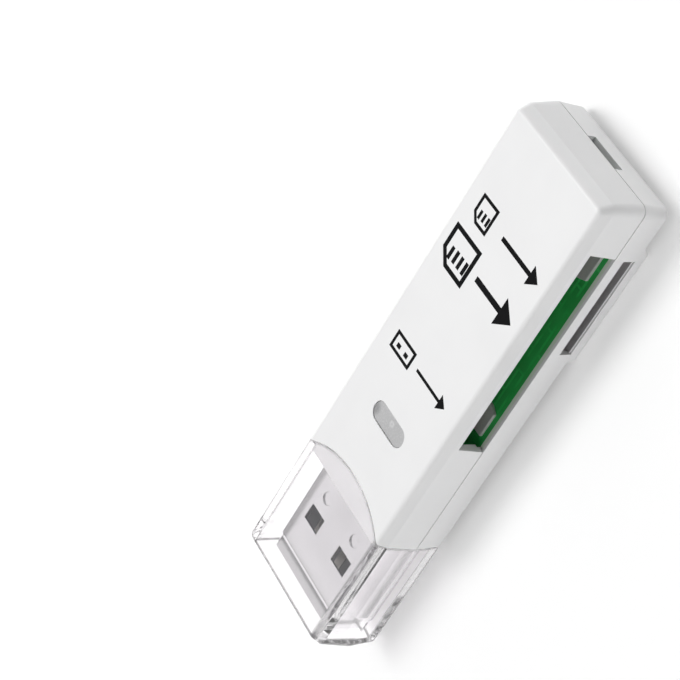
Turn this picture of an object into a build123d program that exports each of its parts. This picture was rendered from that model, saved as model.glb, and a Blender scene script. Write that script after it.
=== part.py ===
from build123d import *
import os

# Card reader stick with a plug under a clear cap, a large card slot and a small card slot in one
# side. All sizes are in millimetres. +X runs from the cap to the tail, the card slots face -Y and
# +Z is up. The origin is under the middle of the closed stick, on the surface that it lies on.

# Body: two moulded half shells that meet at a seam, where the body is widest and longest. The walls
# lean in above the seam up to a crease, and in below it down to the base.
BODY_LENGTH = 44.0
BODY_WIDTH = 16.2
BODY_HEIGHT = 8.0
SEAM_HEIGHT = 3.25
SEAM_GAP = 0.08
DRAFT_ABOVE = 0.38
DRAFT_BELOW = 0.22
WALL = 0.7
RIM_WALL = 0.72
ROOF = 1.0
FLOOR = 0.9
END_RADIUS = 1.0
BEVEL_SIDE = 0.48
BEVEL_END = 0.72
BEVEL_DOWN = 1.22
BEVEL_SOFTNESS = 0.5
BASE_SOFTNESS = 0.25
LIP_HEIGHT = 0.35
LIP_THICKNESS = 0.35
LIP_CLEARANCE = 0.05

# Pad under the small card slot, the lowest part of the body
PAD_DEPTH = 0.9
PAD_MARGIN = 0.8
PAD_FRONT_SLOPE = 0.4
PAD_TAIL_SLOPE = 0.8

# Slots in the side and the tail, placed from the tail
CARD_SLOT_TO_TAIL = 5.8
CARD_SLOT_LENGTH = 24.6
CARD_RIB_COUNT = 4
CARD_RIB_THICKNESS = 0.8
CARD_RIB_HEIGHT = 0.75
CARD_SILL = 0.3
MICRO_SLOT_TO_TAIL = 6.08
MICRO_SLOT_LENGTH = 11.6
MICRO_SLOT_HEIGHT = 1.6
MICRO_SLOT_BASE = 0.35
LANYARD_SLOT_WIDTH = 4.75
LANYARD_SLOT_HEIGHT = 1.05
LANYARD_SLOT_SIDE = 0.05

# Lamp slot in the roof and its lens, placed between the board's front and the large card slot
LAMP_SHARE = 0.554
LAMP_SIDE = -0.3
LAMP_LENGTH = 5.6
LAMP_WIDTH = 2.25
LENS_SINK = 0.1
LENS_CLEARANCE = 0.05
LENS_FLANGE = 0.5
LENS_FLANGE_THICKNESS = 0.4
LENS_STEM_LENGTH = 1.2
LENS_STEM_WIDTH = 2.6
LENS_TO_LAMP = 0.2

# Clear cap, its curved mouth and the collar that it slides over
CAP_LENGTH = 15.05
CAP_WALL_SHARE = 0.62
CAP_ROOF = 0.8
CAP_FLOOR = 0.45
CAP_FRONT = 0.85
CAP_GAP = 0.1
CAP_CLEARANCE = 0.08
TONGUE_REACH = 2.5
COLLAR_REACH = 1.0
COLLAR_FLOOR = 0.2
COLLAR_SOFTNESS = 0.4

# Plug: folded steel shell, plastic tongue and four contacts
PLUG_WIDTH = 12.0
PLUG_HEIGHT = 4.5
PLUG_SHEET = 0.3
PLUG_CORNER = 0.6
PLUG_GAP = 0.3
PLUG_BEHIND_WALL = 0.3
PLUG_CLEARANCE = 0.05
PLUG_LIP_LENGTH = 1.45
PLUG_LIP_DROP = 0.2
PLUG_BEND_LENGTH = 0.5
PLUG_WINDOW_LENGTH = 2.0
PLUG_WINDOW_WIDTH = 2.5
PLUG_WINDOW_DISTANCE = 6.67
PLUG_WINDOW_SPACING = 5.85
PLUG_DIMPLE_RADIUS = 0.7
PLUG_DIMPLE_DEPTH = 0.15
PLUG_DIMPLE_DISTANCE = 9.65
TONGUE_SETBACK = 0.5
TONGUE_HEIGHT = 1.85
TONGUE_BLOCK_LENGTH = 4.0
PLUG_CONTACT_PLACES = (-3.5, -1.0, 1.0, 3.5)
PLUG_CONTACT_WIDTH = 1.0
PLUG_CONTACT_SHEET = 0.15
PLUG_CONTACT_SETBACK = 1.2
PLUG_CONTACT_TAIL = 1.4
PLUG_CONTACT_BEND = 0.5
PLUG_CONTACT_ROOM = 0.05

# Circuit board and what is soldered on it
BOARD_THICKNESS = 0.8
BOARD_BELOW_SEAM = 0.1
BOARD_CLEARANCE = 0.05
SOCKET_CLEARANCE = 0.1
BOARD_FRONT_GAP = 1.2
BOARD_TAIL_GAP = 2.0
POST_SIZE = 1.2
POST_INSET = 1.2
LAMP_CHIP_SIZE = (0.8, 1.6, 0.6)
SMALL_CHIP_SIZE = (0.8, 1.6, 0.5)
SMALL_CHIP_GAP = 1.2
CONTROLLER_SIZE = (5.0, 5.0, 0.75)

# Contacts and rails for the large card
RAIL_THICKNESS = 0.4
RAIL_SETBACK = 0.5
RAIL_LEAD_LENGTH = 1.0
RAIL_LEAD_WIDTH = 0.45
FRONT_RAIL_START = 0.9
FRONT_RAIL_WIDTH = 3.3
REAR_RAIL_WIDTH = 4.2
CARRIER_DEPTH = 4.0
CARRIER_BASE = 0.4
CARRIER_BACK_DEPTH = 1.2
CARRIER_BACK_HEIGHT = 2.3
CARRIER_MARGIN = 1.0
CARRIER_WALL_GAP = 0.1
CARD_CONTACT_COUNT = 9
CARD_CONTACT_MARGIN = 1.05
CARD_CONTACT_WIDTH = 0.8
CARD_CONTACT_SHEET = 0.15
CARD_CONTACT_REACH = 2.0
CARD_CONTACT_TIP = 0.9
CARD_CONTACT_RISE = 0.55

# Socket for the small card, hung under the board
SOCKET_MARGIN = 0.5
SOCKET_SHEET = 0.2
SOCKET_DEPTH = 12.0
SOCKET_BASE_THICKNESS = 0.5
SOCKET_FLOOR_GAP = 0.05
SOCKET_FRONT_GAP = 0.1
SOCKET_LIP_SETBACK = 0.1
MICRO_CONTACT_COUNT = 8
MICRO_CONTACT_PITCH = 1.1
MICRO_CONTACT_WIDTH = 0.7
MICRO_CONTACT_SHEET = 0.12
MICRO_CONTACT_LENGTH = 3.4
MICRO_CONTACT_TIP = 0.8
MICRO_CONTACT_DROP = 0.35
MICRO_CONTACT_SETBACK = 5.0

# How far a cutting tool reaches past the surface that it cuts
OVERCUT = 1.0

# Places along X
x_tail = (BODY_LENGTH + CAP_LENGTH) / 2
x_mouth = x_tail - BODY_LENGTH
x_crown = x_mouth - CAP_LENGTH
x_collar = x_mouth - COLLAR_REACH
x_front_wall = x_mouth + TONGUE_REACH + WALL
x_cap_back = x_mouth + TONGUE_REACH + OVERCUT
x_cavity = x_crown + CAP_FRONT
x_card_end = x_tail - CARD_SLOT_TO_TAIL
x_card = x_card_end - CARD_SLOT_LENGTH
x_micro_end = x_tail - MICRO_SLOT_TO_TAIL
x_micro = x_micro_end - MICRO_SLOT_LENGTH
x_plug = x_cavity + PLUG_GAP
x_plug_tail = x_front_wall + PLUG_BEHIND_WALL
x_board = x_plug_tail + BOARD_FRONT_GAP
x_board_end = x_tail - RIM_WALL - BOARD_TAIL_GAP
x_lamp = x_board + LAMP_SHARE * (x_card - x_board)

# Places along Y
half_width = BODY_WIDTH / 2
half_crease = half_width - DRAFT_ABOVE
half_top = half_crease - BEVEL_SIDE
inner_half = half_crease - WALL
inner_low = half_width - RIM_WALL
cap_wall = CAP_WALL_SHARE * (half_crease - PLUG_WIDTH / 2)
cavity_half = half_crease - cap_wall
collar_half = cavity_half - CAP_CLEARANCE
cavity_corner = 3 * CAP_CLEARANCE
board_half = inner_low - BOARD_CLEARANCE
sill_half = half_width - CARD_SILL
tab_half = sill_half - BOARD_CLEARANCE

# Places along Z
z_base = PAD_DEPTH
z_top = z_base + BODY_HEIGHT
z_seam = z_base + SEAM_HEIGHT
z_crease = z_top - BEVEL_DOWN
z_roof = z_top - ROOF
z_cavity_base = z_base + CAP_FLOOR
z_cavity_top = z_top - CAP_ROOF
z_collar_base = z_cavity_base + CAP_CLEARANCE
z_collar_top = z_cavity_top - CAP_CLEARANCE
z_card_top = z_roof - CARD_RIB_HEIGHT
z_board = z_seam - BOARD_BELOW_SEAM
z_board_base = z_board - BOARD_THICKNESS
z_micro = z_base + MICRO_SLOT_BASE
z_plug = z_collar_base + COLLAR_FLOOR + PLUG_CLEARANCE + PLUG_HEIGHT / 2
z_plug_floor = z_plug - PLUG_HEIGHT / 2 + PLUG_SHEET
z_plug_roof = z_plug + PLUG_HEIGHT / 2 - PLUG_SHEET
z_tongue = z_plug_floor + TONGUE_HEIGHT


def block(x_range, y_range, z_range, mode=Mode.ADD):
    """A box between two places along each axis, added to or cut from the open part."""
    size = [high - low for low, high in (x_range, y_range, z_range)]
    middle = [(high + low) / 2 for low, high in (x_range, y_range, z_range)]
    with Locations(tuple(middle)):
        Box(*size, mode=mode)


def outline(x_flat, x_round, inset, end_inset, z):
    """An outline from above, square at x_flat and rounded at x_round, drawn in at the sides and there."""
    x_end = x_round - end_inset if x_round > x_flat else x_round + end_inset
    with BuildSketch(Plane.XY.offset(z)) as area:
        with Locations(((x_flat + x_end) / 2, 0)):
            Rectangle(abs(x_end - x_flat), BODY_WIDTH - 2 * inset)
        corners = area.vertices().group_by(Axis.X)[-1 if x_round > x_flat else 0]
        fillet(corners, max(END_RADIUS - inset / 2, LIP_CLEARANCE))
    return area.sketch


def leaning_walls(x_flat, x_round, z_low):
    """The block above the seam: walls that lean in to the crease and a steep bevel above it."""
    inset = DRAFT_ABOVE + BEVEL_SIDE
    end_inset = DRAFT_ABOVE + BEVEL_END
    crease = outline(x_flat, x_round, DRAFT_ABOVE, DRAFT_ABOVE, z_crease)
    loft([outline(x_flat, x_round, 0, 0, z_low), crease], ruled=True)
    loft([crease, outline(x_flat, x_round, inset, end_inset, z_top)], ruled=True)


def soften_top(part, x_flat):
    """Round the edges round the top, apart from the one at x_flat."""
    rim = part.faces().sort_by(Axis.Z)[-1].edges()
    fillet(rim.filter_by(lambda edge: abs(edge.center().X - x_flat) > OVERCUT), BEVEL_SOFTNESS)


def mouth_from_above(x_shift, x_far, z):
    """The area between the mouth's arc, seen from above, and a straight edge at x_far."""
    x_arc = x_mouth + x_shift
    y_far = half_width + OVERCUT
    with BuildSketch(Plane.XY.offset(z)) as area:
        with BuildLine():
            ThreePointArc((x_arc, -half_top), (x_arc + TONGUE_REACH, 0), (x_arc, half_top))
            Polyline((x_arc, half_top), (x_arc, y_far), (x_far, y_far), (x_far, -y_far),
                     (x_arc, -y_far), (x_arc, -half_top))
        make_face()
    return area.sketch


def cut_mouth():
    """Cut the step that the cap's walls fill, so that only the collar reaches out of the mouth."""
    x_far = x_collar - OVERCUT
    y_far = half_width + OVERCUT
    extrude(mouth_from_above(0, x_far, z_collar_top), amount=CAP_ROOF + OVERCUT, mode=Mode.SUBTRACT)
    extrude(mouth_from_above(0, x_far, z_collar_base), amount=-CAP_FLOOR - OVERCUT, mode=Mode.SUBTRACT)
    for y_range in ((-y_far, -collar_half), (collar_half, y_far)):
        block((x_far, x_mouth), y_range, (z_base - OVERCUT, z_top + OVERCUT), Mode.SUBTRACT)


def plug_section(growth, x):
    """The plug's rounded section, grown all round, on a plane across X."""
    with BuildSketch(Plane.YZ.offset(x)) as section:
        with Locations((0, z_plug)):
            RectangleRounded(PLUG_WIDTH + 2 * growth, PLUG_HEIGHT + 2 * growth, PLUG_CORNER + growth)
    return section.sketch


def cut_plug_way():
    """Cut the way through the collar and the front wall that holds the plug."""
    length = x_front_wall - x_collar + 2 * OVERCUT
    extrude(plug_section(PLUG_CLEARANCE, x_collar - OVERCUT), amount=length, mode=Mode.SUBTRACT)


def strip(points, sheet, y_middle, width):
    """A bent strip of sheet along points in the XZ plane, as wide as given along Y."""
    with BuildSketch(Plane.XZ.offset(-y_middle)) as profile:
        with BuildLine():
            under = Polyline(*points)
            offset(under, amount=sheet, side=Side.LEFT)
        make_face()
    extrude(profile.sketch, amount=width / 2, both=True)


def finish(part, name):
    """Name a finished piece and write it out."""
    part.label = name
    export_step(part, f"parts/{name}.step")


os.makedirs("parts", exist_ok=True)

# Top shell
with BuildPart() as top_shell:
    leaning_walls(x_collar, x_tail, z_seam + SEAM_GAP)
    soften_top(top_shell, x_collar)
    room = DRAFT_ABOVE + WALL
    extrude(outline(x_front_wall, x_tail, room, room, z_seam), amount=z_roof - z_seam, mode=Mode.SUBTRACT)
    room = RIM_WALL - LIP_THICKNESS - LIP_CLEARANCE
    extrude(outline(x_front_wall, x_tail, room, room, z_seam), amount=LIP_HEIGHT, mode=Mode.SUBTRACT)
    cut_mouth()
    collar_edges = top_shell.edges().filter_by(Axis.Y).group_by(Axis.X)[0]
    fillet(collar_edges.sort_by(Axis.Z)[-1], COLLAR_SOFTNESS)
    cut_plug_way()
    block((x_card, x_card_end), (-half_width - OVERCUT, -inner_half + OVERCUT),
          (z_seam - OVERCUT, z_card_top), Mode.SUBTRACT)
    with BuildSketch(Plane.XY.offset(z_top)):
        with Locations((x_lamp, LAMP_SIDE)):
            SlotOverall(LAMP_LENGTH, LAMP_WIDTH, rotation=90)
    extrude(amount=-ROOF, mode=Mode.SUBTRACT)
    rib_spacing = CARD_SLOT_LENGTH / CARD_RIB_COUNT
    with Locations(((x_card + x_card_end) / 2, -CARRIER_DEPTH / 2, (z_card_top + z_roof) / 2)):
        with GridLocations(rib_spacing, 1, CARD_RIB_COUNT, 1):
            Box(CARD_RIB_THICKNESS, 2 * inner_half - CARRIER_DEPTH, CARD_RIB_HEIGHT)
finish(top_shell.part, "top_shell")

# Bottom shell: its walls run down to the pad, and in front of and behind the pad it ends at the base
with BuildPart() as bottom_shell:
    pad_inset = DRAFT_BELOW * z_seam / SEAM_HEIGHT
    loft([outline(x_collar, x_tail, pad_inset, pad_inset, 0), outline(x_collar, x_tail, 0, 0, z_seam)],
         ruled=True)
    x_pad = x_micro - PAD_MARGIN
    x_pad_end = x_micro_end + PAD_MARGIN
    with BuildSketch(Plane.XZ):
        with BuildLine():
            Polyline((x_collar - OVERCUT, z_base), (x_pad - PAD_FRONT_SLOPE, z_base), (x_pad, 0),
                     (x_pad, -OVERCUT), (x_collar - OVERCUT, -OVERCUT), close=True)
        make_face()
        with BuildLine():
            Polyline((x_tail + OVERCUT, z_base), (x_pad_end + PAD_TAIL_SLOPE, z_base), (x_pad_end, 0),
                     (x_pad_end, -OVERCUT), (x_tail + OVERCUT, -OVERCUT), close=True)
        make_face()
    extrude(amount=half_width + OVERCUT, both=True, mode=Mode.SUBTRACT)
    lower_edges = bottom_shell.edges().filter_by(
        lambda edge: edge.center().Z < z_base + BASE_SOFTNESS and edge.center().X > x_collar + OVERCUT
    )
    across = lower_edges.filter_by(Axis.Y).filter_by(lambda edge: edge.center().X < x_tail - OVERCUT)
    fillet(lower_edges - across, BASE_SOFTNESS)
    rim = outline(x_front_wall, x_tail, RIM_WALL, RIM_WALL, z_seam)
    extrude(rim, amount=FLOOR - SEAM_HEIGHT, mode=Mode.SUBTRACT)
    x_pocket = (x_micro - SOCKET_MARGIN - SOCKET_CLEARANCE, x_micro_end + SOCKET_MARGIN + SOCKET_CLEARANCE)
    y_socket_end = -inner_low + SOCKET_FRONT_GAP + SOCKET_DEPTH
    block(x_pocket, (-inner_low, y_socket_end + SOCKET_CLEARANCE), (z_micro, z_seam), Mode.SUBTRACT)
    room = RIM_WALL - LIP_THICKNESS
    extrude(outline(x_front_wall, x_tail, room, room, z_seam), amount=LIP_HEIGHT)
    extrude(rim, amount=LIP_HEIGHT, mode=Mode.SUBTRACT)
    block((x_card, x_card_end), (-sill_half, -inner_low + OVERCUT),
          (z_board_base - BOARD_CLEARANCE, z_card_top), Mode.SUBTRACT)
    cut_mouth()
    cut_plug_way()
    block((x_micro, x_micro_end), (-half_width - OVERCUT, -inner_low + OVERCUT),
          (z_micro, z_micro + MICRO_SLOT_HEIGHT), Mode.SUBTRACT)
    y_lanyard = (LANYARD_SLOT_SIDE - LANYARD_SLOT_WIDTH / 2, LANYARD_SLOT_SIDE + LANYARD_SLOT_WIDTH / 2)
    block((x_tail - RIM_WALL - OVERCUT, x_tail + OVERCUT), y_lanyard,
          (z_seam - LANYARD_SLOT_HEIGHT, z_seam), Mode.SUBTRACT)
    x_posts = x_board_end - x_board - 2 * POST_INSET
    z_post = z_base + FLOOR
    with Locations(((x_board + x_board_end) / 2, 0, (z_post + z_board_base) / 2)):
        with GridLocations(x_posts, 2 * (board_half - POST_INSET), 2, 2):
            Box(POST_SIZE, POST_SIZE, z_board_base - z_post)
finish(bottom_shell.part, "bottom_shell")

# Clear cap, with the same leaning walls as the body
with BuildPart() as clear_cap:
    loft([outline(x_cap_back, x_crown, DRAFT_BELOW, DRAFT_BELOW, z_base),
          outline(x_cap_back, x_crown, 0, 0, z_seam)], ruled=True)
    leaning_walls(x_cap_back, x_crown, z_seam)
    soften_top(clear_cap, x_cap_back)
    base_rim = clear_cap.faces().sort_by(Axis.Z)[0].edges()
    fillet(base_rim.filter_by(lambda edge: edge.center().X < x_cap_back - OVERCUT), BASE_SOFTNESS)
    extrude(mouth_from_above(-CAP_GAP, x_cap_back + OVERCUT, z_base - OVERCUT),
            amount=BODY_HEIGHT + 2 * OVERCUT, mode=Mode.SUBTRACT)
    block((x_mouth - CAP_GAP, x_cap_back + OVERCUT), (-half_width - OVERCUT, half_width + OVERCUT),
          (z_cavity_base, z_cavity_top), Mode.SUBTRACT)
    with BuildSketch(Plane.YZ.offset(x_cavity)):
        with Locations((0, (z_cavity_base + z_cavity_top) / 2)):
            RectangleRounded(2 * cavity_half, z_cavity_top - z_cavity_base, cavity_corner)
    extrude(amount=x_cap_back - x_cavity + OVERCUT, mode=Mode.SUBTRACT)
finish(clear_cap.part, "clear_cap")

# Plug shell, thinner along its front lip, with a short slope behind the lip
with BuildPart() as plug_shell:
    x_lip_end = x_plug + PLUG_LIP_LENGTH
    x_bend = x_lip_end + PLUG_BEND_LENGTH
    extrude(plug_section(-PLUG_LIP_DROP, x_plug), amount=PLUG_LIP_LENGTH)
    loft([plug_section(-PLUG_LIP_DROP, x_lip_end), plug_section(0, x_bend)], ruled=True)
    extrude(plug_section(0, x_bend), amount=x_plug_tail - x_bend)
    extrude(plug_section(-PLUG_SHEET, x_plug - OVERCUT), amount=x_plug_tail - x_plug + 2 * OVERCUT,
            mode=Mode.SUBTRACT)
    with Locations((x_plug + PLUG_WINDOW_DISTANCE, 0, z_plug)):
        with GridLocations(1, PLUG_WINDOW_SPACING, 1, 2):
            Box(PLUG_WINDOW_LENGTH, PLUG_WINDOW_WIDTH, PLUG_HEIGHT + OVERCUT, mode=Mode.SUBTRACT)
    with BuildSketch(Plane.XY.offset(z_plug + PLUG_HEIGHT / 2)):
        with Locations((x_plug + PLUG_DIMPLE_DISTANCE, 0)):
            with GridLocations(1, PLUG_WINDOW_SPACING, 1, 2):
                Circle(PLUG_DIMPLE_RADIUS)
    extrude(amount=-PLUG_DIMPLE_DEPTH, mode=Mode.SUBTRACT)
finish(plug_shell.part, "plug_shell")

# Plug tongue, with a block behind that fills the shell and lets the contacts through
with BuildPart() as plug_tongue:
    y_tongue = PLUG_WIDTH / 2 - PLUG_SHEET - PLUG_CLEARANCE
    block((x_plug + TONGUE_SETBACK, x_plug_tail), (-y_tongue, y_tongue), (z_plug_floor, z_tongue))
    fillet(plug_tongue.edges().filter_by(Axis.X).group_by(Axis.Z)[0], PLUG_CORNER)
    block((x_plug_tail - TONGUE_BLOCK_LENGTH, x_plug_tail), (-y_tongue, y_tongue), (z_tongue, z_plug_roof))
    fillet(plug_tongue.edges().filter_by(Axis.X).group_by(Axis.Z)[-1], PLUG_CORNER)
    y_contacts = max(PLUG_CONTACT_PLACES) + PLUG_CONTACT_WIDTH / 2 + PLUG_CONTACT_ROOM
    block((x_plug_tail - TONGUE_BLOCK_LENGTH - OVERCUT, x_plug_tail + OVERCUT), (-y_contacts, y_contacts),
          (z_tongue, z_tongue + PLUG_CONTACT_SHEET + PLUG_CONTACT_ROOM), Mode.SUBTRACT)
finish(plug_tongue.part, "plug_tongue")

# Plug contacts, bent at the tail to lie on the board
for number, place in enumerate(PLUG_CONTACT_PLACES, start=1):
    with BuildPart() as plug_contact:
        strip([(x_plug + PLUG_CONTACT_SETBACK, z_tongue), (x_plug_tail + PLUG_CONTACT_BEND, z_tongue),
               (x_board, z_board), (x_board + PLUG_CONTACT_TAIL, z_board)],
              PLUG_CONTACT_SHEET, place, PLUG_CONTACT_WIDTH)
    finish(plug_contact.part, f"plug_contact_{number}")

# Circuit board, with a tab that fills the sill of the large card slot
with BuildPart() as circuit_board:
    block((x_board, x_board_end), (-board_half, board_half), (z_board_base, z_board))
    block((x_card + BOARD_CLEARANCE, x_card_end - BOARD_CLEARANCE), (-tab_half, 0), (z_board_base, z_board))
finish(circuit_board.part, "circuit_board")

# Lamp on the board and the lens over it
with BuildPart() as led:
    length, width, height = LAMP_CHIP_SIZE
    block((x_lamp - length / 2, x_lamp + length / 2), (LAMP_SIDE - width / 2, LAMP_SIDE + width / 2),
          (z_board, z_board + height))
finish(led.part, "led")

with BuildPart() as led_lens:
    with BuildSketch(Plane.XY.offset(z_roof)):
        with Locations((x_lamp, LAMP_SIDE)):
            SlotOverall(LAMP_LENGTH - 2 * LENS_CLEARANCE, LAMP_WIDTH - 2 * LENS_CLEARANCE, rotation=90)
    extrude(amount=ROOF - LENS_SINK)
    with BuildSketch(Plane.XY.offset(z_roof)):
        with Locations((x_lamp, LAMP_SIDE)):
            SlotOverall(LAMP_LENGTH + 2 * LENS_FLANGE, LAMP_WIDTH + 2 * LENS_FLANGE, rotation=90)
    extrude(amount=-LENS_FLANGE_THICKNESS)
    z_stem = z_board + LAMP_CHIP_SIZE[2] + LENS_TO_LAMP
    block((x_lamp - LENS_STEM_LENGTH / 2, x_lamp + LENS_STEM_LENGTH / 2),
          (LAMP_SIDE - LENS_STEM_WIDTH / 2, LAMP_SIDE + LENS_STEM_WIDTH / 2),
          (z_stem, z_roof - LENS_FLANGE_THICKNESS))
finish(led_lens.part, "led_lens")

# Controller under the board, and a row of small chips in front of it
x_controller = (x_board + x_micro - SOCKET_MARGIN) / 2
with BuildPart() as controller_chip:
    length, width, height = CONTROLLER_SIZE
    block((x_controller - length / 2, x_controller + length / 2), (-width / 2, width / 2),
          (z_board_base - height, z_board_base))
finish(controller_chip.part, "controller_chip")

small_chips = ("capacitor_1", "resistor_1", "resistor_2", "capacitor_2")
for number, name in enumerate(small_chips, start=1):
    with BuildPart() as small_chip:
        length, width, height = SMALL_CHIP_SIZE
        x_chip = x_controller - CONTROLLER_SIZE[0] / 2 - SMALL_CHIP_GAP
        y_chip = (2 * number / (len(small_chips) + 1) - 1) * board_half
        block((x_chip - length, x_chip), (y_chip - width / 2, y_chip + width / 2),
              (z_board_base - height, z_board_base))
    finish(small_chip.part, name)

# Carrier at the back of the large card slot
y_carrier = inner_half - CARRIER_WALL_GAP - CARRIER_DEPTH
y_carrier_back = y_carrier + CARRIER_DEPTH
with BuildPart() as card_contact_carrier:
    with BuildSketch(Plane.YZ.offset(x_card + CARRIER_MARGIN)):
        with BuildLine():
            Polyline((y_carrier, z_board), (y_carrier_back, z_board),
                     (y_carrier_back, z_board + CARRIER_BACK_HEIGHT),
                     (y_carrier_back - CARRIER_BACK_DEPTH, z_board + CARRIER_BACK_HEIGHT),
                     (y_carrier_back - CARRIER_BACK_DEPTH, z_board + CARRIER_BASE),
                     (y_carrier, z_board + CARRIER_BASE), close=True)
        make_face()
    extrude(amount=CARD_SLOT_LENGTH - 2 * CARRIER_MARGIN)
finish(card_contact_carrier.part, "card_contact_carrier")

# Spring contacts of the large card, each a bent strip across the slot
for number in range(1, CARD_CONTACT_COUNT + 1):
    with BuildPart() as card_contact:
        pitch = (CARD_SLOT_LENGTH - 2 * CARD_CONTACT_MARGIN) / CARD_CONTACT_COUNT
        x_contact = x_card + CARD_CONTACT_MARGIN + (number - 1 / 2) * pitch
        z_arm = z_board + CARRIER_BASE
        y_root = y_carrier_back - CARRIER_BACK_DEPTH
        with BuildSketch(Plane.YZ.offset(x_contact)):
            with BuildLine():
                arm = Polyline((y_root, z_arm), (y_carrier, z_arm),
                               (y_carrier - CARD_CONTACT_REACH, z_arm + CARD_CONTACT_RISE),
                               (y_carrier - CARD_CONTACT_REACH - CARD_CONTACT_TIP, z_arm))
                offset(arm, amount=CARD_CONTACT_SHEET, side=Side.RIGHT)
            make_face()
        extrude(amount=CARD_CONTACT_WIDTH / 2, both=True)
    finish(card_contact.part, f"card_contact_{number}")

# Rails that lie on the board at the two ends of the large card slot
y_rail = -board_half + RAIL_SETBACK
y_rail_end = y_carrier - CARD_CONTACT_REACH - CARD_CONTACT_TIP - SOCKET_CLEARANCE


def card_rail(x_outer, x_inner, lead, name):
    """A flat strip from x_outer to x_inner whose front inner corner is cut back as a lead-in."""
    with BuildPart() as rail:
        with BuildSketch(Plane.XY.offset(z_board)):
            with BuildLine():
                Polyline((x_outer, y_rail), (x_inner - lead, y_rail), (x_inner, y_rail + RAIL_LEAD_LENGTH),
                         (x_inner, y_rail_end), (x_outer, y_rail_end), close=True)
            make_face()
        extrude(amount=RAIL_THICKNESS)
    finish(rail.part, name)


x_front_rail = x_card + FRONT_RAIL_START
card_rail(x_front_rail, x_front_rail + FRONT_RAIL_WIDTH, RAIL_LEAD_WIDTH, "card_rail_front")
card_rail(x_card_end, x_card_end - REAR_RAIL_WIDTH, -RAIL_LEAD_WIDTH, "card_rail_rear")

# Small card socket: a plastic base against the board, and a steel cover below and beside it, whose
# floor reaches out over the sill of the slot
x_socket = (x_micro - SOCKET_MARGIN, x_micro_end + SOCKET_MARGIN)
y_socket = (-inner_low + SOCKET_FRONT_GAP, y_socket_end)
z_socket = z_micro + SOCKET_FLOOR_GAP
y_socket_lip = -half_width + DRAFT_BELOW + SOCKET_LIP_SETBACK
z_socket_base = z_board_base - SOCKET_BASE_THICKNESS
with BuildPart() as micro_socket_cover:
    block(x_socket, y_socket, (z_socket, z_board_base))
    block((x_socket[0] + SOCKET_SHEET, x_socket[1] - SOCKET_SHEET),
          (y_socket[0] - OVERCUT, y_socket[1] - SOCKET_SHEET),
          (z_socket + SOCKET_SHEET, z_board_base + OVERCUT), Mode.SUBTRACT)
    block((x_micro + SOCKET_CLEARANCE, x_micro_end - SOCKET_CLEARANCE), (y_socket_lip, 0),
          (z_socket, z_socket + SOCKET_SHEET))
finish(micro_socket_cover.part, "micro_socket_cover")

with BuildPart() as micro_socket_base:
    block((x_socket[0] + SOCKET_SHEET, x_socket[1] - SOCKET_SHEET),
          (y_socket[0], y_socket[1] - SOCKET_SHEET), (z_socket_base, z_board_base))
finish(micro_socket_base.part, "micro_socket_base")

# Contacts of the small card, under the socket's base
for number in range(1, MICRO_CONTACT_COUNT + 1):
    with BuildPart() as micro_contact:
        x_contact = (x_micro + x_micro_end) / 2
        x_contact += (number - (MICRO_CONTACT_COUNT + 1) / 2) * MICRO_CONTACT_PITCH
        y_contact = y_socket[0] + MICRO_CONTACT_SETBACK
        with BuildSketch(Plane.YZ.offset(x_contact)):
            with BuildLine():
                arm = Polyline((y_contact + MICRO_CONTACT_LENGTH, z_socket_base), (y_contact, z_socket_base),
                               (y_contact - MICRO_CONTACT_TIP, z_socket_base - MICRO_CONTACT_DROP),
                               (y_contact - 2 * MICRO_CONTACT_TIP, z_socket_base - MICRO_CONTACT_SHEET))
                offset(arm, amount=MICRO_CONTACT_SHEET, side=Side.LEFT)
            make_face()
        extrude(amount=MICRO_CONTACT_WIDTH / 2, both=True)
    finish(micro_contact.part, f"micro_contact_{number}")
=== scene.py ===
"""Looks of the card reader stick: white shells, clear cap, steel plug, green board, ink marks and stage."""

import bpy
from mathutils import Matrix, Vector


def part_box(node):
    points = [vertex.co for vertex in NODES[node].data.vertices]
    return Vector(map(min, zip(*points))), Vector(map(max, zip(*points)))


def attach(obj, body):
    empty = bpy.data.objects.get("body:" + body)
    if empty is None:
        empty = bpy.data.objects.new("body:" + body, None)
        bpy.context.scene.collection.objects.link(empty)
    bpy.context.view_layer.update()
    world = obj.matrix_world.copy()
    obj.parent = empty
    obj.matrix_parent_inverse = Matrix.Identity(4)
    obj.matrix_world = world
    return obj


bl_info = {
    "name": "Card Reader Stick",
    "version": (1, 0, 0),
    "blender": (4, 5, 0),
    "location": "3D View > Sidebar > Card Reader",
    "description": "Dresses the packed card reader stick and sets its stage",
    "category": "Object",
}

import math

import bpy
import bmesh
from bpy.props import FloatProperty, FloatVectorProperty, IntProperty, PointerProperty
from mathutils import Vector

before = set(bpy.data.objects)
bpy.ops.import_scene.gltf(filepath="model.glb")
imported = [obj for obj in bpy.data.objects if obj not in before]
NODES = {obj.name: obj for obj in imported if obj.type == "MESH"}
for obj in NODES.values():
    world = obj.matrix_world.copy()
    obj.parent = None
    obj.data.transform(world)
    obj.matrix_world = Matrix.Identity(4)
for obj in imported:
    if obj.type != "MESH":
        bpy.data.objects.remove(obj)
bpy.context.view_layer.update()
MM = 0.001
WELD_DISTANCE = 0.001 * MM
FLAT_ANGLE = math.radians(0.4)
# Reach of the ambient occlusion that lays in the painted shade in recesses
RECESS_SHADE_DEPTH = 1.5 * MM
CAP_PAINTED_EDGE_REACH = 0.45 * MM
CAP_RIM_ROUGHNESS = 0.4
CAP_SHADOW_TINT = (0.74, 0.73, 0.74)
HIGHLIGHT_RING_RADIUS = 0.22 * MM
PANEL_TOP = 0.35
SHINE_STEPS = ((0.0, 1.0), (0.16, 1.0), (0.2, 0.26), (0.38, 0.26), (0.46, 0.74), (0.64, 0.88), (1.0, 0.92))
FLOOR_REACH = 1.5
SENSOR_WIDTH = 36


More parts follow.
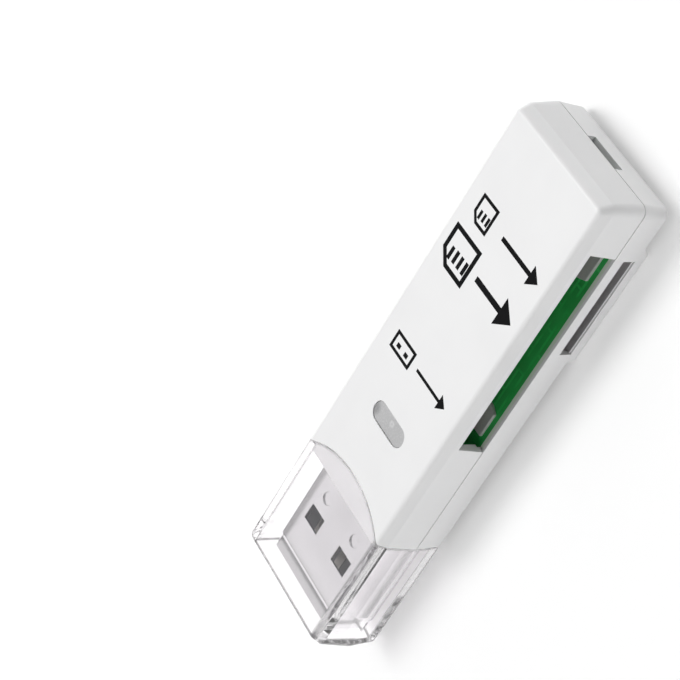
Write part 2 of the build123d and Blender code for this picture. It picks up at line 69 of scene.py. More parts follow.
def nodes_like(start):
    """The names of the CAD nodes that begin with a word, in order."""
    return sorted(name for name in NODES if name.startswith(start))


def centre(name):
    """The middle of a CAD node's box."""
    low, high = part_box(name)
    return (low + high) / 2


# Settings that a user would change

def size_setting(name, description, default):
    """A length in metres, with its unit."""
    return FloatProperty(name=name, description=description, default=default, unit="LENGTH", precision=6)


def colour_setting(name, description, default):
    """A linear colour."""
    return FloatVectorProperty(
        name=name, description=description, default=default, subtype="COLOR", size=3, min=0, max=1)


def share_setting(name, description, default):
    """A plain factor."""
    return FloatProperty(name=name, description=description, default=default, subtype="FACTOR", precision=4)


class ShellSettings(bpy.types.PropertyGroup):
    """White moulded shells."""

    plastic: colour_setting("Plastic", "Colour of the moulded shells", (0.85, 0.85, 0.852))
    plastic_shade: colour_setting(
        "Plastic shade", "Colour in the faint clouds of the moulding", (0.83, 0.83, 0.833))
    # Painted shade: a dark colour painted deep in slots and recesses, where shade falls
    painted_recess_shade: colour_setting("Recess", "Colour deep in the slots", (0.14, 0.14, 0.145))
    edge: size_setting("Edge", "Width of the rounding on sharp edges", 0.07 * MM)
    grain: size_setting("Grain", "Size of the moulded grain", 0.11 * MM)


class CapSettings(bpy.types.PropertyGroup):
    """Clear cap."""

    plastic: colour_setting("Plastic", "Colour of the clear plastic", (0.975, 0.964, 0.972))
    # Painted shade: a dark colour painted along the cap's edges, standing in for the dark lines that clear
    # plastic shows there
    painted_edge_shade: colour_setting(
        "Plastic edge", "Colour along the edges, where light is trapped", (0.03, 0.028, 0.03))
    bend: FloatProperty(name="Bend", description="How strongly the plastic bends light", default=1.49)
    edge: size_setting("Edge", "Width of the rounding on sharp edges", 0.14 * MM)


class PlugSettings(bpy.types.PropertyGroup):
    """Steel plug, its tongue and contacts."""

    steel: colour_setting("Steel", "Colour of the plug's sheet", (0.84, 0.83, 0.845))
    steel_shade: colour_setting("Steel shade", "Colour along the drawing lines", (0.80, 0.79, 0.805))
    socket_steel: colour_setting("Socket steel", "Colour of the small socket's cover", (0.92, 0.90, 0.92))
    tongue: colour_setting("Tongue", "Colour of the tongue in the plug", (0.25, 0.25, 0.285))
    gold: colour_setting("Gold", "Colour of the contacts", (0.42, 0.40, 0.37))
    edge: size_setting("Edge", "Width of the rounding on sharp edges", 0.05 * MM)


class BoardSettings(bpy.types.PropertyGroup):
    """Circuit board and what sits on it."""

    mask: colour_setting("Mask", "Colour of the solder mask", (0.018, 0.42, 0.075))
    trace: colour_setting("Trace", "Colour of the mask over a copper trace", (0.028, 0.50, 0.10))
    laminate: colour_setting("Laminate", "Colour of the bare board on the slot's sill", (0.72, 0.80, 0.70))
    rail: colour_setting("Rail", "Colour of the card rails", (0.47, 0.48, 0.46))
    dark: colour_setting("Dark", "Colour of the chip and the contact carrier", (0.016, 0.016, 0.017))
    ceramic: colour_setting("Ceramic", "Colour of the small ceramic parts", (0.33, 0.25, 0.17))
    lamp: colour_setting("Lamp", "Colour of the lamp's body", (0.72, 0.70, 0.58))
    lens: colour_setting("Lens", "Colour of the milky lamp window", (0.50, 0.50, 0.505))
    # Painted highlight: a bright ring painted on the window over the lamp
    lens_painted_highlight: colour_setting(
        "Lens bright", "Colour of the window's ring over the lamp", (0.60, 0.60, 0.605))
    # Painted shade: the window's far end painted darker
    lens_painted_shade: colour_setting("Lens dim", "Colour of the window's far end", (0.31, 0.31, 0.315))


class InkSettings(bpy.types.PropertyGroup):
    """Printed marks on the top."""

    ink: colour_setting("Ink", "Colour of the printed marks", (0.005, 0.005, 0.006))
    line: size_setting("Line", "Width of a printed line", 0.5 * MM)
    film: size_setting("Film", "How far the ink stands up", 0.006 * MM)


class StageSettings(bpy.types.PropertyGroup):
    """Camera, lamp, room and floor."""

    camera_place: FloatVectorProperty(
        name="Camera place", description="Where the camera stands", subtype="TRANSLATION", unit="LENGTH",
        size=3, precision=5, default=(0.11548, -0.12009, 0.15670))
    camera_turn: FloatVectorProperty(
        name="Camera turn", description="How the camera is turned", subtype="EULER", unit="ROTATION",
        size=3, default=tuple(math.radians(a) for a in (1.7196, 50.1480, -45.3419)))
    lens: FloatProperty(
        name="Lens", description="Focal length on a 36 mm wide sensor, in millimetres", default=123.146)
    lamp_place: FloatVectorProperty(
        name="Lamp place", description="Where the soft lamp hangs", subtype="TRANSLATION", unit="LENGTH",
        size=3, default=(-0.035, 0.24, 0.55))
    lamp_size: size_setting("Lamp size", "Width of the soft lamp", 0.26)
    lamp_power: FloatProperty(
        name="Lamp power", description="Power of the soft lamp", subtype="POWER", default=1.7)
    room_light: share_setting("Room light", "Strength of the light from all round", 0.6)
    side_light: share_setting("Side light", "Light of the low panels on both sides", 4.4)
    room_dim: share_setting("Room dim", "How much darker the room is behind the camera", 0.95)
    dim_turn: FloatProperty(
        name="Dim turn", description="Turn from the camera to the room's dimmest side", subtype="ANGLE",
        default=math.radians(8))
    bounces: IntProperty(
        name="Bounces", description="How often light may bounce inside the clear cap", default=32, min=4)
    floor: colour_setting("Floor", "Colour of the pale floor", (0.80, 0.80, 0.80))
    floor_glow: share_setting("Floor glow", "White that the floor adds where it is seen", 0.25)
    floor_shine: share_setting("Floor shine", "White that it adds through clear plastic", 0.24)


# Shader helpers

def new_material(name):
    """A node material with its tree and its main shader."""
    material = bpy.data.materials.new(name)
    material.use_nodes = True
    tree = material.node_tree
    return material, tree, tree.nodes["Principled BSDF"]


def set_inputs(tree, node, values):
    """Give each named input its value, or a link where the value is another node's output."""
    for key, value in values.items():
        if isinstance(value, bpy.types.NodeSocket):
            tree.links.new(value, node.inputs[key])
        elif isinstance(node.inputs[key], bpy.types.NodeSocketColor):
            node.inputs[key].default_value = (*value[:3], 1)
        else:
            node.inputs[key].default_value = value


def add_node(tree, kind, inputs=None, **options):
    """A node of a kind, with its options and its inputs set."""
    node = tree.nodes.new(kind)
    for key, value in options.items():
        setattr(node, key, value)
    set_inputs(tree, node, inputs or {})
    return node


def calculate(tree, operation, *values):
    """The result of a sum on numbers or on other nodes' outputs."""
    return add_node(tree, "ShaderNodeMath", dict(enumerate(values)), operation=operation).outputs[0]


def new_group(name, inputs, outputs):
    """An empty node group with number sockets, and its entry and exit nodes."""
    group = bpy.data.node_groups.new(name, "ShaderNodeTree")
    for title, default in inputs.items():
        socket = group.interface.new_socket(title, in_out="INPUT", socket_type="NodeSocketFloat")
        socket.default_value = default
    for title in outputs:
        group.interface.new_socket(title, in_out="OUTPUT", socket_type="NodeSocketFloat")
    return group, add_node(group, "NodeGroupInput"), add_node(group, "NodeGroupOutput")


def span(tree, value, start, end, low, high):
    """A value taken from one range to another, kept inside it."""
    ranges = {"Value": value, "From Min": start, "From Max": end, "To Min": low, "To Max": high}
    return add_node(tree, "ShaderNodeMapRange", ranges, clamp=True).outputs["Result"]


def blend(tree, share, first, second):
    """Two colours mixed by a share that changes over the surface."""
    node = add_node(tree, "ShaderNodeMix", data_type="RGBA")
    tree.links.new(share, node.inputs["Factor"])
    for socket, colour in ((node.inputs[6], first), (node.inputs[7], second)):
        if isinstance(colour, bpy.types.NodeSocket):
            tree.links.new(colour, socket)
        else:
            socket.default_value = (*colour[:3], 1)
    return node.outputs[2]


def use_group(tree, group, values):
    """A node group placed in a material with its own values."""
    node = add_node(tree, "ShaderNodeGroup", node_tree=group)
    set_inputs(tree, node, values)
    return node


def add_bump(tree, shader, height, strength, depth):
    """A bump of a given depth in metres on a shader."""
    values = {"Height": height, "Strength": strength, "Distance": depth}
    bump = add_node(tree, "ShaderNodeBump", values)
    tree.links.new(bump.outputs["Normal"], shader.inputs["Normal"])


def shared_group(name, build):
    """A node group by name, built the first time it is asked for."""
    return bpy.data.node_groups.get(name) or build(name)


def build_grain(name):
    """Moulded grain: a roughness, a bump height and a broad faint cloud."""
    group, entry, leave = new_group(
        name, {"Grain size": 0.0001, "Low roughness": 0.3, "High roughness": 0.4, "Cloud size": 0.006},
        ("Roughness", "Height", "Cloud"))
    place = add_node(group, "ShaderNodeTexCoord").outputs["Object"]
    textures = []
    for title in ("Grain size", "Cloud size"):
        scale = calculate(group, "DIVIDE", 1.0, entry.outputs[title])
        inputs = {"Vector": place, "Scale": scale, "Detail": 2.0}
        textures.append(add_node(group, "ShaderNodeTexNoise", inputs).outputs["Fac"])
    grain, cloud = textures
    low, high = entry.outputs["Low roughness"], entry.outputs["High roughness"]
    set_inputs(group, leave, {
        "Roughness": span(group, grain, 0.3, 0.7, low, high),
        "Height": grain,
        "Cloud": span(group, cloud, 0.35, 0.65, 0.0, 1.0)})
    return group


def build_drawn(name):
    """Drawn sheet: fine lines along X as a roughness, a bump height and a tone."""
    group, entry, leave = new_group(
        name, {"Line size": 0.00006, "Stretch": 40.0, "Low roughness": 0.2, "High roughness": 0.3},
        ("Roughness", "Height", "Tone"))
    place = add_node(group, "ShaderNodeTexCoord").outputs["Object"]
    shrink = calculate(group, "DIVIDE", 1.0, entry.outputs["Stretch"])
    scales = add_node(group, "ShaderNodeCombineXYZ", {"X": shrink, "Y": 1.0, "Z": 1.0})
    inputs = {"Vector": place, "Scale": scales.outputs[0]}
    lines_place = add_node(group, "ShaderNodeMapping", inputs, vector_type="POINT")
    scale = calculate(group, "DIVIDE", 1.0, entry.outputs["Line size"])
    inputs = {"Vector": lines_place.outputs[0], "Scale": scale, "Detail": 3.0}
    lines = add_node(group, "ShaderNodeTexNoise", inputs).outputs["Fac"]
    low, high = entry.outputs["Low roughness"], entry.outputs["High roughness"]
    set_inputs(group, leave, {
        "Roughness": span(group, lines, 0.3, 0.7, low, high),
        "Height": lines,
        "Tone": span(group, lines, 0.3, 0.7, 0.0, 1.0)})
    return group


# Materials

def moulded_plastic(name, colour, shade, grain, low, high, depth=0.002 * MM, painted_recess_shade=None):
    """Opaque moulded plastic with grain and faint clouds of tone, and painted shade in its recesses."""
    material, tree, shader = new_material(name)
    surface = use_group(tree, shared_group("moulded_grain", build_grain), {
        "Grain size": grain, "Low roughness": low, "High roughness": high}).outputs
    tone = blend(tree, surface["Cloud"], colour, shade)
    if painted_recess_shade:
        # Painted shade: the dark colour laid into recesses by ambient occlusion
        tone = blend(tree, recess_shade_share(tree, RECESS_SHADE_DEPTH), tone, painted_recess_shade)
    set_inputs(tree, shader, {"Base Color": tone, "Roughness": surface["Roughness"]})
    add_bump(tree, shader, surface["Height"], 0.35, depth)
    return material


def recess_shade_share(tree, depth):
    """How deep a surface point lies in a hollow of its own piece, from 0 on open faces to 1: the mask of
    the painted shade in recesses.
    """
    inputs = {"Distance": depth}
    openness = add_node(tree, "ShaderNodeAmbientOcclusion", inputs, samples=8, only_local=True)
    return span(tree, openness.outputs["AO"], 0.2, 0.6, 1.0, 0.0)


def darker(colour, share):
    """A colour scaled down."""
    return tuple(c * share for c in colour[:3])


def drawn_metal(name, colour, shade, low, high, stretch=40.0):
    """Drawn or stamped metal with fine lines."""
    material, tree, shader = new_material(name)
    surface = use_group(tree, shared_group("drawn_lines", build_drawn), {
        "Low roughness": low, "High roughness": high, "Stretch": stretch}).outputs
    set_inputs(tree, shader, {
        "Base Color": blend(tree, surface["Tone"], colour, shade),
        "Roughness": surface["Roughness"],
        "Metallic": 1.0})
    add_bump(tree, shader, surface["Height"], 0.08, 0.001 * MM)
    return material


def painted_edge_share(tree, width):
    """How near a surface point is to an edge, from how far a rounded normal leans from the true one: the
    mask of the cap's painted edge shade.
    """
    rounded = add_node(tree, "ShaderNodeBevel", {"Radius": width}, samples=6).outputs["Normal"]
    true = add_node(tree, "ShaderNodeNewGeometry").outputs["True Normal"]
    inputs = {0: rounded, 1: true}
    along = add_node(tree, "ShaderNodeVectorMath", inputs, operation="DOT_PRODUCT").outputs["Value"]
    return span(tree, calculate(tree, "ABSOLUTE", along), 0.9985, 0.965, 0.0, 1.0)


def clear_plastic(name, colour, painted_edge_colour, bend, low, high):
    """Clear moulded plastic with painted dark lines of shade along its edges, strongest at its front, and
    satin on its base rim.
    """
    material, tree, shader = new_material(name)
    surface = use_group(tree, shared_group("moulded_grain", build_grain), {
        "Grain size": 1.2 * MM, "Low roughness": 0.0, "High roughness": 0.035}).outputs
    place = add_node(tree, "ShaderNodeTexCoord").outputs["Object"]
    parts = add_node(tree, "ShaderNodeSeparateXYZ", {0: place}).outputs
    # Painted shade: dark base colour along the edges, strongest at the front
    to_front = span(tree, parts["X"], low.x, high.x, 1.0, 0.45)
    edge = calculate(tree, "MULTIPLY", painted_edge_share(tree, CAP_PAINTED_EDGE_REACH), to_front)
    above_base = span(tree, parts["Z"], low.z + 0.01 * MM, low.z + 0.03 * MM, 0.0, 1.0)
    below_wall = span(tree, parts["Z"], low.z + 0.25 * MM, low.z + 0.5 * MM, CAP_RIM_ROUGHNESS, 0.0)
    satin = calculate(tree, "MULTIPLY", above_base, below_wall)
    polish = calculate(tree, "MAXIMUM", surface["Roughness"], satin)
    set_inputs(tree, shader, {
        "Base Color": blend(tree, edge, colour, painted_edge_colour),
        "Roughness": polish, "IOR": bend, "Transmission Weight": 1.0})
    add_bump(tree, shader, surface["Height"], 0.05, 0.004 * MM)
    path = add_node(tree, "ShaderNodeLightPath").outputs
    through = add_node(tree, "ShaderNodeBsdfTransparent", {"Color": CAP_SHADOW_TINT}).outputs[0]
    inputs = {0: path["Is Shadow Ray"], 1: shader.outputs[0], 2: through}
    mixed = add_node(tree, "ShaderNodeMixShader", inputs)
    tree.links.new(mixed.outputs[0], tree.nodes["Material Output"].inputs["Surface"])
    return material


def board_mask(name, mask, trace, laminate, bare):
    """Solder mask over copper: faint raised traces, soft clouds, and bare laminate below a place on Y."""
    material, tree, shader = new_material(name)
    surface = use_group(tree, shared_group("moulded_grain", build_grain), {
        "Grain size": 0.08 * MM, "Cloud size": 3.0 * MM,
        "Low roughness": 0.28, "High roughness": 0.42}).outputs
    place = add_node(tree, "ShaderNodeTexCoord").outputs["Object"]
    inputs = {"Vector": place, "Scale": 260.0, "Mortar Size": 0.035, "Brick Width": 1.4, "Row Height": 0.22}
    lines = add_node(tree, "ShaderNodeTexBrick", inputs).outputs["Fac"]
    patches = add_node(tree, "ShaderNodeTexNoise", {"Vector": place, "Scale": 240.0}).outputs["Fac"]
    broken = calculate(tree, "MULTIPLY", lines, span(tree, patches, 0.48, 0.56, 0.0, 1.0))
    clouded = blend(tree, surface["Cloud"], mask, darker(mask, 0.8))
    across = add_node(tree, "ShaderNodeSeparateXYZ", {0: place}).outputs["Y"]
    edge = span(tree, across, bare - 0.05 * MM, bare, 1.0, 0.0)
    masked = blend(tree, broken, clouded, trace)
    set_inputs(tree, shader, {
        "Base Color": blend(tree, edge, masked, laminate),
        "Roughness": surface["Roughness"]})
    add_bump(tree, shader, broken, 0.3, 0.015 * MM)
    return material


def milky_lens(name, colour, painted_highlight, dim, lamp, far_end):
    """Milky lamp window, with a small painted highlight ring over the lamp below it and painted shade on
    its dimmer far end.
    """
    material, tree, shader = new_material(name)
    surface = use_group(tree, shared_group("moulded_grain", build_grain), {
        "Grain size": 0.15 * MM, "Low roughness": 0.22, "High roughness": 0.3}).outputs
    place = add_node(tree, "ShaderNodeTexCoord").outputs["Object"]
    distances = []
    for point in (lamp, far_end):
        away = add_node(tree, "ShaderNodeVectorMath", {0: place, 1: point}, operation="DISTANCE")
        distances.append(away.outputs["Value"])
    off_lamp, off_end = distances
    off_ring = calculate(tree, "ABSOLUTE", calculate(tree, "SUBTRACT", off_lamp, HIGHLIGHT_RING_RADIUS))
    clouded = blend(tree, surface["Cloud"], colour, darker(colour, 0.94))
    # Painted shade: the far end of the window laid in darker
    shaded = blend(tree, span(tree, off_end, 0.5 * MM, 1.0 * MM, 1.0, 0.0), clouded, dim)
    # Painted highlight: a bright ring laid in over the lamp
    painted_ring = blend(tree, span(tree, off_ring, 0.0, HIGHLIGHT_RING_RADIUS, 1.0, 0.0), shaded, painted_highlight)
    set_inputs(tree, shader, {"Base Color": painted_ring, "Roughness": surface["Roughness"]})
    add_bump(tree, shader, surface["Height"], 0.2, 0.002 * MM)
    return material


def dress(names, material):
    """Give CAD nodes one material."""
    for name in names:
        mesh = NODES[name].data
        mesh.materials.clear()
        mesh.materials.append(material)


def soften(names, width, segments=2, angle=32):
    """Round the sharp edges of CAD nodes by modifiers, which leave their meshes as they are."""
    for name in names:
        node = NODES[name]
        weld = node.modifiers.new("weld", "WELD")
        weld.merge_threshold = WELD_DISTANCE
        flat = node.modifiers.new("flat_faces", "DECIMATE")
        flat.decimate_type = "DISSOLVE"
        flat.angle_limit = FLAT_ANGLE
        edge = node.modifiers.new("soft_edges", "BEVEL")
        edge.width = width
        edge.segments = segments
        edge.limit_method = "ANGLE"
        edge.angle_limit = math.radians(angle)
        edge.use_clamp_overlap = True
        normals = node.modifiers.new("even_normals", "WEIGHTED_NORMAL")
        normals.keep_sharp = True


# Pieces

class READER_OT_shells(bpy.types.Operator):
    """Dress the two white shells"""

    bl_idname = "reader.shells"
    bl_label = "Shells"

    def execute(self, context):
        look = context.scene.reader_shells
        names = ["top_shell", "bottom_shell"]
        dress(names, moulded_plastic(
            "white_plastic", look.plastic, look.plastic_shade, look.grain, 0.34, 0.46, painted_recess_shade=look.painted_recess_shade))
        soften(names, look.edge)
        return {"FINISHED"}


class READER_OT_cap(bpy.types.Operator):
    """Dress the clear cap"""

    bl_idname = "reader.cap"
    bl_label = "Clear cap"

    def execute(self, context):
        look = context.scene.reader_cap
        dress(["clear_cap"], clear_plastic(
            "clear_plastic", look.plastic, look.painted_edge_shade, look.bend, *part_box("clear_cap")))
        soften(["clear_cap"], look.edge)
        return {"FINISHED"}


class READER_OT_plug(bpy.types.Operator):
    """Dress the plug's shell, tongue and contacts"""

    bl_idname = "reader.plug"
    bl_label = "Plug"

    def execute(self, context):
        look = context.scene.reader_plug
        dress(["plug_shell"], drawn_metal("plug_steel", look.steel, look.steel_shade, 0.14, 0.22))
        soften(["plug_shell"], look.edge, angle=16)
        dress(["plug_tongue"], moulded_plastic(
            "tongue_plastic", look.tongue, darker(look.tongue, 0.96), 0.12 * MM, 0.4, 0.5))
        dress(nodes_like("plug_contact"), drawn_metal(
            "plug_gold", look.gold, darker(look.gold, 0.85), 0.2, 0.3))
        return {"FINISHED"}


class READER_OT_board(bpy.types.Operator):
    """Dress the circuit board, its chips and the lamp"""

    bl_idname = "reader.board"
    bl_label = "Circuit board"

    def execute(self, context):
        look = context.scene.reader_board
        bare = -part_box("circuit_board")[1].y
        dress(["circuit_board"], board_mask("board_green", look.mask, look.trace, look.laminate, bare))
        dress(["controller_chip"], moulded_plastic(
            "chip_black", look.dark, darker(look.dark, 0.7), 0.05 * MM, 0.45, 0.6))
        soften(["controller_chip"], 0.06 * MM)
        dress([*nodes_like("capacitor"), *nodes_like("resistor")], moulded_plastic(
            "ceramic", look.ceramic, darker(look.ceramic, 0.8), 0.06 * MM, 0.4, 0.55))
        dress(["led"], moulded_plastic(
            "lamp_plastic", look.lamp, darker(look.lamp, 0.9), 0.1 * MM, 0.25, 0.35))
        return {"FINISHED"}


class READER_OT_sockets(bpy.types.Operator):
    """Dress the card rails, the contact carrier, the small socket and their contacts"""

    bl_idname = "reader.sockets"
    bl_label = "Card sockets"

    def execute(self, context):
        look = context.scene.reader_board
        steel = context.scene.reader_plug
        dress(nodes_like("card_rail"), moulded_plastic(
            "rail_plastic", look.rail, darker(look.rail, 0.85), 0.1 * MM, 0.4, 0.5))
        soften(nodes_like("card_rail"), 0.05 * MM)
        dress(["card_contact_carrier"], moulded_plastic(
            "carrier_black", look.dark, darker(look.dark, 0.7), 0.08 * MM, 0.45, 0.6))
        dress(["micro_socket_base"], moulded_plastic(
            "socket_plastic", look.rail, darker(look.rail, 0.85), 0.08 * MM, 0.45, 0.6))
        dress(["micro_socket_cover"], drawn_metal(
            "socket_steel", steel.socket_steel, darker(steel.socket_steel, 0.85), 0.5, 0.62))
        contacts = [n for n in nodes_like("card_contact_") if n != "card_contact_carrier"]
        dress([*contacts, *nodes_like("micro_contact")], drawn_metal(
            "contact_gold", steel.gold, darker(steel.gold, 0.85), 0.22, 0.34))
        return {"FINISHED"}


class READER_OT_lens(bpy.types.Operator):
    """Dress the lamp's milky window"""

    bl_idname = "reader.lens"
    bl_label = "Lamp window"

    def execute(self, context):
        look = context.scene.reader_board
        low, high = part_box("led_lens")
        # Places of the painted highlight ring and of the painted shade at the far end
        lamp = centre("led") + Vector((0.3 * MM, -0.3 * MM, 0))
        lamp.z = high.z
        far_end = Vector(((low.x + high.x) / 2 - 0.2 * MM, high.y - 0.6 * MM, high.z))
        dress(["led_lens"], milky_lens(
            "lens_plastic", look.lens, look.lens_painted_highlight, look.lens_painted_shade, lamp, far_end))
        soften(["led_lens"], 0.06 * MM, 3)
        return {"FINISHED"}


def moved_aside(points, distance, closed):
    """The points of a line moved sideways, mitred at its corners."""
    count = len(points)
    moved = []
    for i, point in enumerate(points):
        steps = []
        if closed or i > 0:
            steps.append(point - points[i - 1])
        if closed or i < count - 1:
            steps.append(points[(i + 1) % count] - point)
        sides = [Vector((-step.y, step.x)).normalized() for step in steps]
        side = sum(sides, Vector((0, 0))).normalized()
        moved.append(point + side * distance / side.dot(sides[0]))
    return moved


def stroke(points, width, closed=True):
    """A line of some width as four-sided patches."""
    points = [Vector(p) for p in points]
    left = moved_aside(points, width / 2, closed)
    right = moved_aside(points, -width / 2, closed)
    count = len(points)
    pairs = [(i, (i + 1) % count) for i in range(count if closed else count - 1)]
    return [(right[i], right[j], left[j], left[i]) for i, j in pairs]


def bar(along, across, length, width):
    """A filled bar by its middle."""
    half_l, half_w = length / 2, width / 2
    corners = ((-half_l, -half_w), (half_l, -half_w), (half_l, half_w), (-half_l, half_w))
    return [tuple(Vector((along + a, across + b)) for a, b in corners)]


def arrow(tip, tail, line, head):
    """An arrow along the reading direction, from tail to tip, in the middle of its row."""
    way = 1 if tip > tail else -1
    neck = tip - way * head
    shaft = bar((tail + neck) / 2, 0, abs(neck - tail), line)
    corners = (Vector((tip, 0)), Vector((neck, head * 0.8)), Vector((neck, -head * 0.8)))
    return shaft + [corners if way < 0 else corners[::-1]]


def card_outline(along, width, height, cut):
    """A card with one cut corner."""
    left, right = along - width / 2, along + width / 2
    low, high = -height / 2, height / 2
    return [(left, low), (right, low), (right, high - cut), (right - cut, high), (left, high)]


def card_mark(along, width, height, line, pads):
    """A card in outline with a row of contact bars below its top edge."""
    inner_w, inner_h = width - line, height - line
    shape = stroke(card_outline(along, inner_w, inner_h, 0.28 * width), line)
    pitch = (width - 2.6 * line) / pads
    for i in range(pads):
        place = along - 0.5 * line + (i - (pads - 1) / 2) * pitch
        drop = 0.1 * height if i < pads - 1 else 0.0
        shape += bar(place, 0.13 * height - drop / 4, 0.55 * pitch, 0.32 * height)
    return shape


def plug_mark(along, width, height, line):
    """The end of a plug: an outline with two small windows."""
    inner_w, inner_h = width - line, height - line
    left, right = along - inner_w / 2, along + inner_w / 2
    low, high = -inner_h / 2, inner_h / 2
    shape = stroke([(left, low), (right, low), (right, high), (left, high)], line)
    for side in (-1, 1):
        shape += bar(along + side * 0.19 * width, 0.08 * height, 0.17 * width, 0.24 * height)
    return shape


def ink_piece(name, patches, row, film, material):
    """Printed patches as one thin film on the top shell, read with the plug upwards."""
    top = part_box("top_shell")[1].z
    sunk = 2 * film
    mesh = bpy.data.meshes.new(name)
    shape = bmesh.new()
    for patch in patches:
        base = [shape.verts.new((row - p.y, p.x, top - sunk)) for p in patch]
        face = shape.faces.new(base)
        raised = bmesh.ops.extrude_face_region(shape, geom=[face])["geom"]
        lifted = [v for v in raised if isinstance(v, bmesh.types.BMVert)]
        bmesh.ops.translate(shape, verts=lifted, vec=(0, 0, sunk + film))
    bmesh.ops.recalc_face_normals(shape, faces=shape.faces)
    shape.to_mesh(mesh)
    shape.free()
    mesh.materials.append(material)
    piece = bpy.data.objects.new(name, mesh)
    bpy.context.scene.collection.objects.link(piece)
    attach(piece, "reader")


class READER_OT_ink(bpy.types.Operator):
    """Print plain card and plug pictograms on the top"""

    bl_idname = "reader.ink"
    bl_label = "Ink marks"

    def execute(self, context):
        look = context.scene.reader_ink
        ink = moulded_plastic(
            "black_ink", look.ink, darker(look.ink, 0.6), 0.06 * MM, 0.6, 0.75, depth=0.001 * MM)
        ink.node_tree.nodes["Principled BSDF"].inputs["Specular IOR Level"].default_value = 0.08
        line = look.line
        thin = 0.7 * line
        lens_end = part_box("led_lens")[1].x
        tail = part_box("top_shell")[1].x
        plug_row = lens_end + 5.0 * MM
        card_row = tail - 16.0 * MM
        small_row = tail - 11.0 * MM
        marks = {
            "ink_plug_mark": (plug_row, [
                *plug_mark(3.2 * MM, 3.6 * MM, 2.1 * MM, thin),
                *arrow(-5.0 * MM, 0.4 * MM, thin, 1.1 * MM)]),
            "ink_card_mark": (card_row, [
                *card_mark(3.7 * MM, 4.6 * MM, 4.4 * MM, line, 4),
                *arrow(-6.0 * MM, 0.4 * MM, 1.3 * line, 2.0 * MM)]),
            "ink_small_card_mark": (small_row, [
                *card_mark(3.7 * MM, 2.8 * MM, 3.0 * MM, thin, 3),
                *arrow(-6.0 * MM, 0.4 * MM, line, 1.4 * MM)]),
        }
        for name, (row, patches) in marks.items():
            ink_piece(name, patches, row, look.film, ink)
        return {"FINISHED"}


# Stage

def floor_material(colour, glow, shine):
    """Pale floor that keeps the shadow and is white elsewhere, also seen in metal or through the cap."""
    material, tree, shader = new_material("floor_pale")
    grain = use_group(tree, shared_group("moulded_grain", build_grain), {
        "Grain size": 0.5 * MM, "Low roughness": 0.85, "High roughness": 0.95}).outputs
    set_inputs(tree, shader, {
        "Base Color": colour, "Roughness": grain["Roughness"], "Specular IOR Level": 0.0})
    path = add_node(tree, "ShaderNodeLightPath").outputs
    seen = calculate(tree, "MAXIMUM", path["Is Camera Ray"], path["Is Glossy Ray"])
    direct = calculate(tree, "MULTIPLY", seen, glow)
    strength = calculate(tree, "MULTIPLY_ADD", path["Is Transmission Ray"], shine, direct)
    white = add_node(tree, "ShaderNodeEmission", {"Color": (1, 1, 1), "Strength": strength})
    both = add_node(tree, "ShaderNodeAddShader", {0: shader.outputs[0], 1: white.outputs[0]})
    tree.links.new(both.outputs[0], tree.nodes["Material Output"].inputs["Surface"])
    return material


def room_world(light, side_light, dim, behind):
    """Soft room light with low side panels, dimmer behind the camera, and a banded room for what shines."""
    world = bpy.data.worlds.new("room")
    world.use_nodes = True
    tree = world.node_tree
    way = add_node(tree, "ShaderNodeTexCoord").outputs["Generated"]
    facing = add_node(tree, "ShaderNodeVectorMath", {0: way, 1: behind}, operation="DOT_PRODUCT")
    height = add_node(tree, "ShaderNodeSeparateXYZ", {0: way}).outputs["Z"]
    facing = facing.outputs["Value"]
    aside = calculate(tree, "SUBTRACT", 1.0, calculate(tree, "MULTIPLY", facing, facing))
    panels = span(tree, height, 0.0, PANEL_TOP, side_light, 0.0)
    room = span(tree, facing, 0.3, 0.7, light, light * (1 - dim))
    strength = calculate(tree, "MULTIPLY_ADD", panels, aside, room)
    even = add_node(tree, "ShaderNodeBackground", {"Color": (1, 1, 1), "Strength": strength})

    ramp = add_node(tree, "ShaderNodeValToRGB", {"Fac": height})
    elements = ramp.color_ramp.elements
    while len(elements) < len(SHINE_STEPS):
        elements.new(0.5)
    for element, (position, value) in zip(elements, SHINE_STEPS):
        element.position = position
        element.color = (value, value, value, 1)
    turned = span(tree, facing, -0.45, 0.05, 1.0, 0.08)
    shiny = add_node(tree, "ShaderNodeBackground", {"Color": ramp.outputs["Color"], "Strength": turned})
    white = add_node(tree, "ShaderNodeBackground", {"Color": (1, 1, 1), "Strength": 1.0})

    path = add_node(tree, "ShaderNodeLightPath").outputs
    rays = calculate(tree, "MAXIMUM", path["Is Glossy Ray"], path["Is Transmission Ray"])
    straight = calculate(tree, "LESS_THAN", path["Diffuse Depth"], 0.5)
    mirrored = calculate(tree, "MULTIPLY", rays, straight)
    lit = add_node(tree, "ShaderNodeMixShader", {0: mirrored, 1: even.outputs[0], 2: shiny.outputs[0]})
    seen = add_node(
        tree, "ShaderNodeMixShader", {0: path["Is Camera Ray"], 1: lit.outputs[0], 2: white.outputs[0]})
    tree.links.new(seen.outputs[0], tree.nodes["World Output"].inputs["Surface"])
    return world


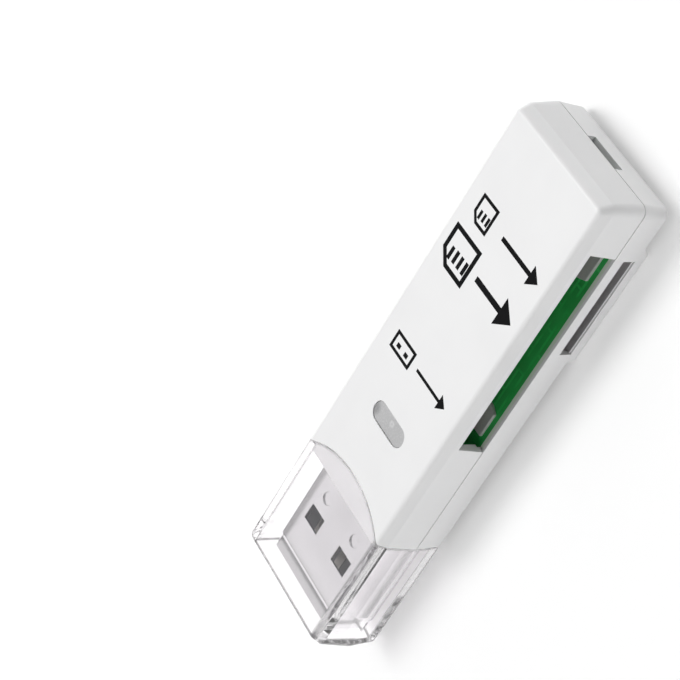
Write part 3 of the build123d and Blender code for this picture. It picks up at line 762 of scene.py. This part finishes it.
class READER_OT_stage(bpy.types.Operator):
    """Set the floor, lamp, room and camera"""

    bl_idname = "reader.stage"
    bl_label = "Stage"

    def execute(self, context):
        scene = context.scene
        look = scene.reader_stage
        mesh = bpy.data.meshes.new("floor")
        signs = ((-1, -1), (1, -1), (1, 1), (-1, 1))
        mesh.from_pydata([(x * FLOOR_REACH, y * FLOOR_REACH, 0) for x, y in signs], [], [(0, 1, 2, 3)])
        mesh.materials.append(floor_material(look.floor, look.floor_glow, look.floor_shine))
        floor = bpy.data.objects.new("floor", mesh)
        scene.collection.objects.link(floor)

        camera_place = Vector(look.camera_place)
        azimuth = math.atan2(camera_place.y, camera_place.x) + look.dim_turn
        behind = Vector((math.cos(azimuth), math.sin(azimuth), 0))
        scene.world = room_world(look.room_light, look.side_light, look.room_dim, behind)

        lamp = bpy.data.lights.new("soft_lamp", "AREA")
        lamp.shape = "DISK"
        lamp.size = look.lamp_size
        lamp.energy = look.lamp_power
        hung = bpy.data.objects.new("soft_lamp", lamp)
        hung.location = look.lamp_place
        hung.rotation_euler = (-Vector(look.lamp_place)).to_track_quat("-Z", "Y").to_euler()
        hung.visible_transmission = False
        scene.collection.objects.link(hung)

        data = bpy.data.cameras.new("photo_camera")
        data.lens = look.lens
        data.sensor_width = SENSOR_WIDTH
        data.clip_start = 0.001
        camera = bpy.data.objects.new("photo_camera", data)
        camera.location = camera_place
        camera.rotation_euler = look.camera_turn
        scene.collection.objects.link(camera)
        scene.camera = camera
        scene.view_settings.view_transform = "Standard"
        for kind in ("max_bounces", "glossy_bounces", "transmission_bounces"):
            setattr(scene.cycles, kind, look.bounces)
        return {"FINISHED"}


class READER_PT_panel(bpy.types.Panel):
    """Lists the steps in the sidebar"""

    bl_idname = "READER_PT_panel"
    bl_label = "Card Reader"
    bl_space_type = "VIEW_3D"
    bl_region_type = "UI"
    bl_category = "Card Reader"

    def draw(self, context):
        for operator in STEPS:
            self.layout.operator(operator.bl_idname)


STEPS = (
    READER_OT_shells, READER_OT_cap, READER_OT_plug, READER_OT_board, READER_OT_sockets, READER_OT_lens,
    READER_OT_ink, READER_OT_stage)
SETTINGS = {
    "reader_shells": ShellSettings, "reader_cap": CapSettings, "reader_plug": PlugSettings,
    "reader_board": BoardSettings, "reader_ink": InkSettings, "reader_stage": StageSettings}


def register():
    """Make the settings, steps and panel known."""
    for cls in (*SETTINGS.values(), *STEPS, READER_PT_panel):
        bpy.utils.register_class(cls)
    for name, cls in SETTINGS.items():
        setattr(bpy.types.Scene, name, PointerProperty(type=cls))


def unregister():
    """Take the settings, steps and panel away again."""
    for name in SETTINGS:
        delattr(bpy.types.Scene, name)
    for cls in reversed((*SETTINGS.values(), *STEPS, READER_PT_panel)):
        bpy.utils.unregister_class(cls)


def main():
    """Run every step in order."""
    register()
    for operator in STEPS:
        group, name = operator.bl_idname.split(".")
        getattr(getattr(bpy.ops, group), name)()


if __name__ == "__main__":
    main()
